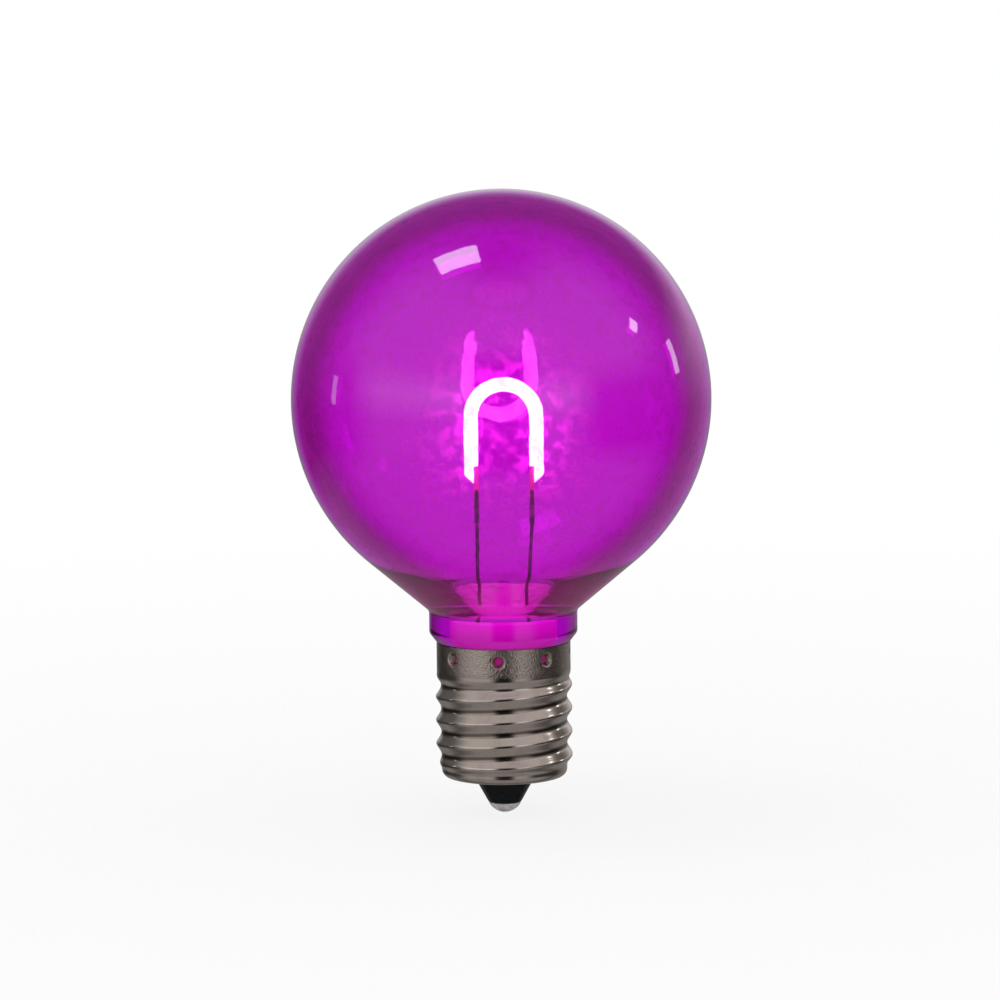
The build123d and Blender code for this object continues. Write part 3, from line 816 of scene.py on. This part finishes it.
class BULB_OT_globe(bpy.types.Operator):
    """Two-walled globe with its shoulder, collar and neck"""

    bl_idname = "bulb.globe"
    bl_label = "Globe"

    def execute(self, context):
        sizes = context.scene.bulb_sizes
        outer = sizes.globe_radius
        inner = outer - sizes.globe_wall
        middle = GLOBE_HIGH.z - outer
        collar_foot = RIM_TOP + sizes.collar_chamfer
        slope = sizes.shoulder_inner_slope
        bore_top = middle - (inner - sizes.neck_bore * math.sin(slope)) / math.cos(slope)
        pen = Lathe(0.0, GLOBE_HIGH.z)
        self.draw_outside(pen, sizes, middle, collar_foot)
        self.draw_inside(pen, sizes, middle, inner, bore_top)
        mesh = pen.turned(sizes.dimple_start)
        corners = [
            (sizes.collar_radius, collar_foot),
            (sizes.rim_radius, RIM_TOP),
            (sizes.neck_bore, bore_top),
        ]
        round_rings(mesh, corners, sizes.collar_round)
        self.sink_pits(mesh, sizes)
        self.mark_light(mesh, sizes, middle, inner)
        finish = purple_plastic(context.scene.bulb_colours)
        add_piece(mesh, "purple_globe", finish, ["globe"])
        return {"FINISHED"}

    @staticmethod
    def draw_outside(pen, sizes, middle, collar_foot):
        """Outline from the crown over the globe, shoulder, fillet and collar to the neck's foot."""
        fillet = sizes.collar_fillet
        bend = RIGHT_ANGLE - sizes.shoulder_slope
        fillet_height = sizes.collar_top - fillet * math.tan(bend / 2.0)
        fillet_middle = sizes.collar_radius + fillet
        fillet_start = fillet_middle - fillet * math.cos(bend)
        pen.arc(0.0, middle, math.pi - sizes.shoulder_slope, steps=96)
        pen.line(fillet_start, fillet_height + fillet * math.sin(bend), steps=8)
        pen.arc(fillet_middle, fillet_height, -bend, steps=10)
        pen.line(sizes.collar_radius, collar_foot, steps=8)
        pen.line(sizes.rim_radius, RIM_TOP, steps=3)
        pen.line(sizes.neck_radius, RIM_TOP)
        pen.line(sizes.neck_radius, NECK_BOTTOM, steps=12)

    @staticmethod
    def draw_inside(pen, sizes, middle, inner, bore_top):
        """Outline from the neck's foot up the bore and the shoulder to the thicker crown."""
        sweep = math.pi - sizes.shoulder_inner_slope
        pen.line(sizes.neck_bore, NECK_BOTTOM, steps=2)
        pen.line(sizes.neck_bore, bore_top, steps=14)
        pen.line(inner * math.sin(sweep), middle + inner * math.cos(sweep), steps=8)
        pen.arc(0.0, middle, RIGHT_ANGLE - sweep, steps=36)
        crown = pen.arc(0.0, middle, -RIGHT_ANGLE, steps=60)
        squeeze = (sizes.globe_radius - sizes.crown_wall) / inner
        level = Matrix.Translation((0.0, 0.0, -middle))
        bmesh.ops.scale(pen.mesh, vec=(1.0, 1.0, squeeze), space=level, verts=crown)

    @staticmethod
    def sink_pits(mesh, sizes):
        """Pits in the neck that take the dimples' funnels."""
        sunk = sizes.rim_radius - sizes.neck_radius
        taper = (sizes.dimple_radius - sizes.dimple_hole) / sizes.dimple_depth
        mouth = sizes.dimple_radius + sizes.sheet + SLIDING_GAP - taper * sunk
        depth = sizes.dimple_depth + SLIDING_GAP - sunk
        rings = [(mouth, 0.0), (mouth - taper * depth, depth)]
        for turn in dimple_turns(sizes):
            pit = punch(mesh, turn, sizes.neck_radius, rings)
            bmesh.ops.edgeloop_fill(mesh, edges=pit)

    @staticmethod
    def mark_light(mesh, sizes, middle, inner):
        """Notes which points are on the globe's inside, and how much of the shoulder's light each gets."""
        inside_layer = mesh.verts.layers.float.new("inside")
        shoulder_layer = mesh.verts.layers.float.new("shoulder")
        shoulder_top = middle - sizes.globe_radius * math.cos(sizes.shoulder_slope)
        glow_height = GLOW_REACH * (shoulder_top - sizes.collar_top)
        for vert in mesh.verts:
            away = math.hypot(vert.co.x, vert.co.y, vert.co.z - middle)
            above = vert.co.z > sizes.collar_top
            up = (vert.co.z - sizes.collar_top) / glow_height
            vert[inside_layer] = 1.0 if above and away < inner + sizes.globe_wall / 2.0 else 0.0
            vert[shoulder_layer] = 1.0 - smooth_step(up) if above else 0.0


def rolled_wave(turns, sizes):
    """Height of the rolled thread from -1 in a groove to 1 on a crest: two arcs and a straight flank."""
    half_pitch = sizes.thread_pitch / 2.0
    depth = sizes.thread_depth
    spare = 2.0 * (sizes.crest_bend + sizes.groove_bend) - depth
    half_tangent = (half_pitch - math.sqrt(half_pitch * half_pitch - depth * spare)) / spare
    flank = 2.0 * math.atan(half_tangent)
    from_crest = abs(math.remainder(turns, 1.0)) * sizes.thread_pitch
    from_groove = half_pitch - from_crest
    crest_end = sizes.crest_bend * math.sin(flank)
    if from_groove < sizes.groove_bend * math.sin(flank):
        lift = sizes.groove_bend - math.sqrt(sizes.groove_bend**2 - from_groove**2)
        return 2.0 * lift / depth - 1.0
    drop = sizes.crest_bend - math.sqrt(sizes.crest_bend**2 - min(from_crest, crest_end) ** 2)
    drop += max(from_crest - crest_end, 0.0) * math.tan(flank)
    return 1.0 - 2.0 * drop / depth


class BULB_OT_screw_shell(bpy.types.Operator):
    """Rolled screw shell with its pierced dimples and turned-in lip"""

    bl_idname = "bulb.screw_shell"
    bl_label = "Screw shell"

    def execute(self, context):
        sizes = context.scene.bulb_sizes
        outside = sizes.rim_radius
        inside = sizes.rim_radius - sizes.sheet
        thread_top = RIM_TOP - sizes.rim_height
        thread_foot = SHELL_LOW.z + sizes.lip_bend
        thread_rows = round(ROWS_PER_PITCH * (thread_top - thread_foot) / sizes.thread_pitch)
        lip_edge = sizes.lip_radius - sizes.lip_bend
        lip_top = SHELL_LOW.z + sizes.sheet
        opening = lip_edge - sizes.lip_flat
        pen = Lathe(outside, RIM_TOP)
        pen.line(outside, DIMPLE_HEIGHT, steps=6)
        pen.line(outside, thread_top, steps=8)
        pen.line(sizes.lip_radius, thread_foot, steps=thread_rows)
        pen.arc(lip_edge, thread_foot, RIGHT_ANGLE, steps=8)
        pen.line(opening, SHELL_LOW.z, steps=2)
        pen.line(opening, lip_top)
        pen.line(lip_edge, lip_top, steps=2)
        pen.arc(lip_edge, thread_foot, -RIGHT_ANGLE, steps=8)
        pen.line(inside, thread_top, steps=thread_rows)
        pen.line(inside, DIMPLE_HEIGHT, steps=8)
        pen.line(inside, RIM_TOP, steps=6)
        pen.line(outside, RIM_TOP)
        mesh = pen.turned(sizes.dimple_start)
        self.roll_thread(mesh, sizes, thread_foot, thread_top)
        for turn in dimple_turns(sizes):
            self.pierce(mesh, sizes, turn)
        finish = nickel_plate(context.scene.bulb_colours)
        piece = add_piece(mesh, "rolled_screw_shell", finish, ["screw_shell"])
        if len(piece.data.attributes["crest"].data) != len(piece.data.vertices):
            raise RuntimeError("the shell lost its crest values")
        return {"FINISHED"}

    @staticmethod
    def roll_thread(mesh, sizes, foot, top):
        """Moves the plain wall out and in to the thread, and notes where the crests and the rim are."""
        crest_layer = mesh.verts.layers.float.new("crest")
        rim_layer = mesh.verts.layers.float.new("rim")
        middle = SHELL_HIGH.x - sizes.thread_depth / 2.0
        for vert in mesh.verts:
            radius = math.hypot(vert.co.x, vert.co.y)
            height = vert.co.z
            vert[crest_layer] = PLAIN_CREST
            vert[rim_layer] = smooth_step((height - top) / RIM_FADE)
            if not foot <= height <= top:
                continue
            share = (height - foot) / (top - foot)
            straight = sizes.lip_radius + (sizes.rim_radius - sizes.lip_radius) * share
            rise = smooth_step((height - foot) / sizes.thread_fade)
            fall = smooth_step((top - height) / sizes.thread_fade)
            at = math.atan2(vert.co.y, vert.co.x) - sizes.thread_start
            wave = rolled_wave((height - foot) / sizes.thread_pitch - at / math.tau, sizes)
            plain = middle
            plain += (sizes.lip_radius - middle) * (1.0 - rise)
            plain += (sizes.rim_radius - middle) * (1.0 - fall)
            rolled = plain + sizes.thread_depth / 2.0 * rise * fall * wave
            vert.co.xy *= (rolled + radius - straight) / radius
            from_groove = (1.0 + wave) / 2.0
            vert[crest_layer] = PLAIN_CREST + (from_groove - PLAIN_CREST) * rise * fall

    @staticmethod
    def pierce(mesh, sizes, turn):
        """Funnel pushed in through the rim, open at its tip."""
        mouth = sizes.dimple_radius
        hole = sizes.dimple_hole
        depth = sizes.dimple_depth
        front = [(wide * mouth + narrow * hole, share * depth) for wide, narrow, share in FUNNEL]
        back = [(mouth + FUNNEL_BACK_FLARE, 0.0), (mouth - FUNNEL_BACK_TAPER, depth - sizes.sheet)]
        inside = punch(mesh, turn, sizes.rim_radius - sizes.sheet, back)
        outside = punch(mesh, turn, sizes.rim_radius, front)
        bmesh.ops.bridge_loops(mesh, edges=outside + inside)


class BULB_OT_insulator(bpy.types.Operator):
    """Black cone between the shell and the contact"""

    bl_idname = "bulb.insulator"
    bl_label = "Insulator"

    def execute(self, context):
        sizes = context.scene.bulb_sizes
        foot = INSULATOR_LOW.z
        land = SHELL_LOW.z + LAND_RISE
        seat = SHELL_LOW.z + sizes.sheet
        lip_edge = sizes.lip_radius - sizes.lip_bend
        opening = lip_edge - sizes.lip_flat - SLIDING_GAP
        bore = sizes.contact_shank + SLIDING_GAP
        pen = Lathe(bore, foot)
        pen.line(sizes.contact_radius, foot, steps=2)
        pen.line(sizes.cone_root, land, steps=12)
        pen.line(opening, land, steps=3)
        pen.line(opening, seat)
        pen.line(lip_edge - FLANGE_GAP, seat)
        pen.line(INSULATOR_HIGH.x, seat + sizes.lip_bend, steps=3)
        pen.line(INSULATOR_HIGH.x, INSULATOR_HIGH.z, steps=2)
        pen.line(bore, INSULATOR_HIGH.z, steps=3)
        pen.line(bore, foot, steps=4)
        mesh = pen.turned()
        round_rings(mesh, [(sizes.contact_radius, foot)], CONE_FOOT_ROUND)
        round_rings(mesh, [(sizes.cone_root, land)], CONE_ROOT_ROUND)
        finish = black_insulator(context.scene.bulb_colours)
        add_piece(mesh, "black_cone", finish, ["insulator"])
        return {"FINISHED"}


class BULB_OT_centre_contact(bpy.types.Operator):
    """Domed rivet at the tip"""

    bl_idname = "bulb.centre_contact"
    bl_label = "Centre contact"

    def execute(self, context):
        sizes = context.scene.bulb_sizes
        rim = sizes.contact_radius
        rise = INSULATOR_LOW.z
        dome = (rim * rim + rise * rise) / (2.0 * rise)
        bore_floor = rise + sizes.contact_floor
        pen = Lathe(0.0, 0.0)
        pen.arc(0.0, dome, -math.asin(rim / dome), steps=16)
        pen.line(sizes.contact_shank, rise, steps=3)
        pen.line(sizes.contact_shank, CONTACT_HIGH.z, steps=4)
        pen.line(sizes.contact_bore, CONTACT_HIGH.z, steps=2)
        pen.line(sizes.contact_bore, bore_floor, steps=4)
        pen.line(0.0, bore_floor)
        mesh = pen.turned()
        round_rings(mesh, [(rim, rise)], CONTACT_ROUND)
        finish = tinned_contact(context.scene.bulb_colours)
        add_piece(mesh, "contact_tip", finish, ["centre_contact"])
        return {"FINISHED"}


class BULB_OT_filament(bpy.types.Operator):
    """Bent filament, notched at its ends for the tabs"""

    bl_idname = "bulb.filament"
    bl_label = "Filament"

    def execute(self, context):
        sizes = context.scene.bulb_sizes
        radius = sizes.filament_radius
        depth = (FILAMENT_LOW.y + FILAMENT_HIGH.y) / 2.0
        middle = (FILAMENT_LOW.x + FILAMENT_HIGH.x) / 2.0
        half_span = (FILAMENT_HIGH.x - FILAMENT_LOW.x) / 2.0 - radius
        arch = FILAMENT_HIGH.z - half_span - radius
        notch_top = FILAMENT_LOW.z + sizes.filament_notch
        mesh = bmesh.new()
        foot = Matrix.Translation((middle - half_span, depth, arch))
        made = bmesh.ops.create_circle(mesh, segments=FILAMENT_SIDES, radius=radius, matrix=foot)
        first = made["verts"]
        first_ring = list(dict.fromkeys(edge for vert in first for edge in vert.link_edges))
        made = bmesh.ops.spin(
            mesh,
            geom=first + first_ring,
            cent=(middle, depth, arch),
            axis=BACKWARDS,
            angle=math.pi,
            steps=FILAMENT_ARCH_STEPS,
        )
        last_ring = only(BMEdge, made["geom_last"])
        for side, ring in ((-1.0, first_ring), (1.0, last_ring)):
            self.make_leg(mesh, sizes, ring, middle + side * half_span, side, arch - notch_top)
        finish = filament_coat(context.scene.bulb_colours)
        add_piece(mesh, "filament_strip", finish, ["filament"])
        return {"FINISHED"}

    @staticmethod
    def make_leg(mesh, sizes, ring, leg_x, side, drop):
        """Straight leg whose lowest part keeps only its outer side."""
        stride = (0.0, 0.0, -drop / FILAMENT_LEG_STEPS)
        for _ in range(FILAMENT_LEG_STEPS):
            verts, ring = extrude_ring(mesh, ring)
            bmesh.ops.translate(mesh, vec=stride, verts=verts)
        cap = bmesh.ops.edgeloop_fill(mesh, edges=ring)["faces"]
        wall_x = leg_x - side * sizes.filament_notch_inset
        cut = bmesh.ops.bisect_plane(
            mesh,
            geom=cap + cap[0].edges[:] + cap[0].verts[:],
            dist=MERGE_DISTANCE,
            plane_co=(wall_x, 0.0, 0.0),
            plane_no=SIDEWAYS,
        )
        halves = only(BMFace, cut["geom"])
        keep = max(halves, key=lambda face: side * face.calc_center_median().x)
        made = bmesh.ops.extrude_face_region(mesh, geom=[keep])["geom"]
        bmesh.ops.delete(mesh, geom=[keep], context="FACES_ONLY")
        verts = only(BMVert, made)
        bmesh.ops.translate(mesh, vec=(0.0, 0.0, -sizes.filament_notch), verts=verts)
        for vert in verts:
            vert.co.z += END_SLANT * side * (vert.co.x - wall_x)
        end = only(BMFace, made)[0]
        off_wall = {vert for vert in end.verts if side * (vert.co.x - wall_x) > MERGE_DISTANCE}
        far = [edge for edge in end.edges if not off_wall.isdisjoint(edge.verts)]
        bevel(mesh, far, sizes.filament_end_round, FILAMENT_END_SEGMENTS)


class BULB_OT_inside(bpy.types.Operator):
    """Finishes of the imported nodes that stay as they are"""

    bl_idname = "bulb.inside"
    bl_label = "Wires, tabs and base parts"

    def execute(self, context):
        colours = context.scene.bulb_colours
        lead = drawn_metal("drawn_lead", colours.wire, dull=WIRE_ROUGHNESS)
        board = moulded("board_laminate", colours.laminate, dull=0.5, grain=2400.0)
        chip = moulded("chip_mould", colours.chip, dull=0.55, grain=3000.0)
        fuse = moulded("fuse_coat", colours.fuse, dull=0.4, grain=1500.0)
        solder = drawn_metal("solder_bead", colours.solder, dull=SOLDER_ROUGHNESS)
        finish_nodes(lead, "lead_wire_left", "lead_wire_right", "shell_wire")
        finish_nodes(lit_tab(colours), "filament_tab_left", "filament_tab_right")
        finish_nodes(milky_plug(colours), "wire_holder")
        finish_nodes(board, "driver_board")
        finish_nodes(chip, "bridge_rectifier", "chip_resistor_left", "chip_resistor_right")
        finish_nodes(fuse, "fuse_resistor")
        finish_nodes(solder, "solder_joints")
        return {"FINISHED"}


# Name, way to the lamp from the globe's middle, its distance, width, height, turn in degrees and brightness
LAMPS = [
    ("overhead_box", (-0.286, 0.036, 0.956), 0.50, 0.115, 0.15, 12.0, 5.6),
    ("right_spot", (0.878, 0.041, 0.477), 0.60, 0.060, 0.045, 30.0, 6.0),
    ("right_strip", (0.905, 0.390, 0.170), 0.60, 0.045, 0.11, 0.0, 3.4),
    ("left_strip", (-0.976, 0.212, 0.039), 0.60, 0.04, 0.10, 0.0, 1.5),
]

# Brightness of the room in reflections, from straight down to straight up
ROOM_HEIGHTS = [(0.0, 0.26), (0.42, 0.28), (0.53, 0.45), (0.90, 0.50), (0.96, 0.42), (1.0, 0.08)]

# Share of that brightness from the camera's side of the room to the side behind the bulb
ROOM_DEPTH = [(0.45, 1.0), (0.66, 0.25), (0.94, 0.25), (0.985, 0.9)]

# Where the white table behind the bulb shows in reflections, by height and by depth, and its brightness
TABLE_HEIGHTS = [(0.34, 1.0), (0.47, 0.0)]
TABLE_DEPTH = [(0.62, 0.0), (0.80, 1.0)]
TABLE_SHADE = 0.22

# Where the ring of soft boxes and gaps at the camera's level starts and stops
EYE_LEVEL = [(0.26, 0.0), (0.36, 1.0), (0.56, 1.0), (0.68, 0.0)]

# Brightness of that ring on the table and above it
BOX_HEIGHTS = [(0.44, 0.36), (0.56, 1.0)]

# Dark camera and stand, as a share of the turn round the bulb and of the way up, and how dark they are
CAMERA_TURN = [(0.437, 0.0), (0.463, 1.0), (0.534, 1.0), (0.560, 0.0)]
CAMERA_HEIGHTS = [(0.18, 0.0), (0.26, 1.0), (0.70, 1.0), (0.80, 0.0)]
CAMERA_DARKNESS = 0.98

# Soft boxes and gaps round the bulb in degrees from the camera, positive to the right
ROOM_RING = [
    (-180.0, 0.75),
    (-164.0, 0.55),
    (-148.0, 0.08),
    (-92.0, 0.10),
    (-70.0, 0.9),
    (-23.0, 1.0),
    (21.0, 1.0),
    (36.0, 1.0),
    (56.0, 0.08),
    (110.0, 0.08),
    (132.0, 0.5),
    (180.0, 0.75),
]

# Half of the floor's side, its speckle, and how its white grows with the distance in metres from the tip
FLOOR_HALF_SIDE = 6.0
FLOOR_SPECKLES = 40.0
FLOOR_SPECKLE_SHADE = 0.97
FLOOR_WHITE = [(0.02, 0.85), (0.25, 1.0)]

PICTURE_PIXELS = 1000.0
SENSOR_MM = 36.0
CLIP_END = 50.0


class BULB_OT_studio(bpy.types.Operator):
    """Pale floor, soft lamps, world and camera"""

    bl_idname = "bulb.studio"
    bl_label = "Studio"

    def execute(self, context):
        studio = context.scene.bulb_studio
        self.lay_floor(context, studio)
        self.light_world(context, studio)
        middle = Vector((0.0, 0.0, GLOBE_HIGH.z - context.scene.bulb_sizes.globe_radius))
        for lamp in LAMPS:
            self.hang_lamp(context, middle, *lamp)
        self.set_camera(context, studio)
        context.scene.view_settings.view_transform = "Standard"
        return {"FINISHED"}

    @staticmethod
    def lay_floor(context, studio):
        """Large floor under the tip, white to the eye apart from the shadow."""
        mesh = bmesh.new()
        bmesh.ops.create_grid(mesh, x_segments=1, y_segments=1, size=FLOOR_HALF_SIDE)
        data = bpy.data.meshes.new("pale_floor")
        mesh.to_mesh(data)
        mesh.free()
        floor = bpy.data.objects.new("pale_floor", data)
        context.scene.collection.objects.link(floor)
        material, nodes = new_finish("pale_floor")
        through = nodes.ray("Transmission")
        speckle = nodes.noise(FLOOR_SPECKLES)
        pale = nodes.mix(speckle, dimmed(studio.floor, FLOOR_SPECKLE_SHADE), studio.floor)
        lit = nodes.add("ShaderNodeBsdfDiffuse", None, {"Color": pale})
        white = nodes.add("ShaderNodeEmission", None, {"Color": solid(WHITE), "Strength": 1.0})
        away = nodes.add("ShaderNodeVectorMath", {"operation": "LENGTH"}, {0: nodes.place()}, output="Value")
        bare = nodes.ramp(away, *FLOOR_WHITE)
        shown = nodes.blend(bare * nodes.ray("Camera").larger(through), lit, white)
        open_floor = nodes.add("ShaderNodeBsdfTransparent")
        nodes.close(nodes.blend(nodes.ray("Glossy") * (1.0 - through), shown, open_floor))
        data.materials.append(material)

    @staticmethod
    def light_world(context, studio):
        """White to the eye and through the plastic, grey in reflections, soft light on the rest."""
        world = bpy.data.worlds.new("studio")
        context.scene.world = world
        nodes = Nodes(world)
        mirrored = nodes.ray("Glossy")
        across, along, up = nodes.split(nodes.add("ShaderNodeTexCoord", output="Generated"))
        turn = across.math("ARCTAN2", across, -1.0 * along) * (1.0 / math.tau) + 0.5
        rise = 0.5 * up + 0.5
        depth = 0.5 * along + 0.5
        room = nodes.ramp(rise, *ROOM_HEIGHTS) * nodes.ramp(depth, *ROOM_DEPTH)
        table = nodes.ramp(rise, *TABLE_HEIGHTS) * nodes.ramp(depth, *TABLE_DEPTH)
        room = (1.0 - table) * room + TABLE_SHADE * table
        ring = [(degrees / 360.0 + 0.5, shade) for degrees, shade in ROOM_RING]
        boxes = studio.soft_boxes * nodes.ramp(turn, *ring) * nodes.ramp(rise, *BOX_HEIGHTS)
        camera = nodes.ramp(turn, *CAMERA_TURN) * nodes.ramp(rise, *CAMERA_HEIGHTS)
        at_eye_level = nodes.ramp(rise, *EYE_LEVEL)
        reflected = (1.0 - at_eye_level) * room + at_eye_level * boxes
        reflected = (1.0 - CAMERA_DARKNESS * camera) * reflected
        lighting = (1.0 - mirrored) * studio.ambient + mirrored * reflected
        shown = nodes.ray("Camera").larger(nodes.ray("Transmission"))
        level = shown + (1.0 - shown) * lighting
        sky = nodes.add("ShaderNodeBackground", None, {"Color": solid(WHITE), "Strength": level})
        nodes.add("ShaderNodeOutputWorld", None, {"Surface": sky})

    @staticmethod
    def hang_lamp(context, middle, name, towards, distance, width, height, turn, brightness):
        """Area lamp that faces the globe."""
        light = bpy.data.lights.new(name, "AREA")
        light.shape = "RECTANGLE"
        light.size = width
        light.size_y = height
        light.energy = brightness * math.pi * width * height
        lamp = bpy.data.objects.new(name, light)
        way = Vector(towards).normalized()
        facing = (-way).to_track_quat("-Z", "Y").to_matrix().to_4x4()
        spin = Matrix.Rotation(math.radians(turn), 4, "Z")
        lamp.matrix_world = Matrix.Translation(middle + distance * way) @ facing @ spin
        context.scene.collection.objects.link(lamp)

    @staticmethod
    def set_camera(context, studio):
        """Camera at the photograph's angle, with the view point at its place in the picture."""
        data = bpy.data.cameras.new("camera")
        data.sensor_width = SENSOR_MM
        data.lens = studio.focal_pixels * SENSOR_MM / PICTURE_PIXELS
        data.shift_x = -studio.view_right / PICTURE_PIXELS
        data.shift_y = -studio.view_up / PICTURE_PIXELS
        data.clip_end = CLIP_END
        camera = bpy.data.objects.new("camera", data)
        point = Vector((0.0, 0.0, studio.view_point))
        away = Vector((0.0, -math.cos(studio.elevation), math.sin(studio.elevation)))
        facing = (-away).to_track_quat("-Z", "Y").to_matrix().to_4x4()
        roll = Matrix.Rotation(studio.roll, 4, "Z")
        camera.matrix_world = Matrix.Translation(point + studio.distance * away) @ facing @ roll
        context.scene.collection.objects.link(camera)
        context.scene.camera = camera


OPERATORS = (
    BULB_OT_globe,
    BULB_OT_screw_shell,
    BULB_OT_insulator,
    BULB_OT_centre_contact,
    BULB_OT_filament,
    BULB_OT_inside,
    BULB_OT_studio,
)


class BULB_PT_sidebar(bpy.types.Panel):
    """Lists the bulb's pieces and the studio"""

    bl_idname = "BULB_PT_sidebar"
    bl_label = "Filament globe bulb"
    bl_space_type = "VIEW_3D"
    bl_region_type = "UI"
    bl_category = "Bulb"

    def draw(self, context):
        for maker in OPERATORS:
            self.layout.operator(maker.bl_idname)


SETTINGS = {"bulb_sizes": BulbSizes, "bulb_colours": BulbColours, "bulb_studio": BulbStudio}


def register():
    """Registers the settings, the operators and the panel."""
    for name, group in SETTINGS.items():
        bpy.utils.register_class(group)
        setattr(bpy.types.Scene, name, bpy.props.PointerProperty(type=group))
    for maker in OPERATORS:
        bpy.utils.register_class(maker)
    bpy.utils.register_class(BULB_PT_sidebar)


def unregister():
    """Takes them out again, last first."""
    bpy.utils.unregister_class(BULB_PT_sidebar)
    for maker in reversed(OPERATORS):
        bpy.utils.unregister_class(maker)
    for name, group in reversed(SETTINGS.items()):
        delattr(bpy.types.Scene, name)
        bpy.utils.unregister_class(group)


def main():
    """Makes the pieces and the studio."""
    register()
    bpy.ops.bulb.globe()
    bpy.ops.bulb.screw_shell()
    bpy.ops.bulb.insulator()
    bpy.ops.bulb.centre_contact()
    bpy.ops.bulb.filament()
    bpy.ops.bulb.inside()
    bpy.ops.bulb.studio()
    bpy.context.view_layer.update()


if __name__ == "__main__":
    main()
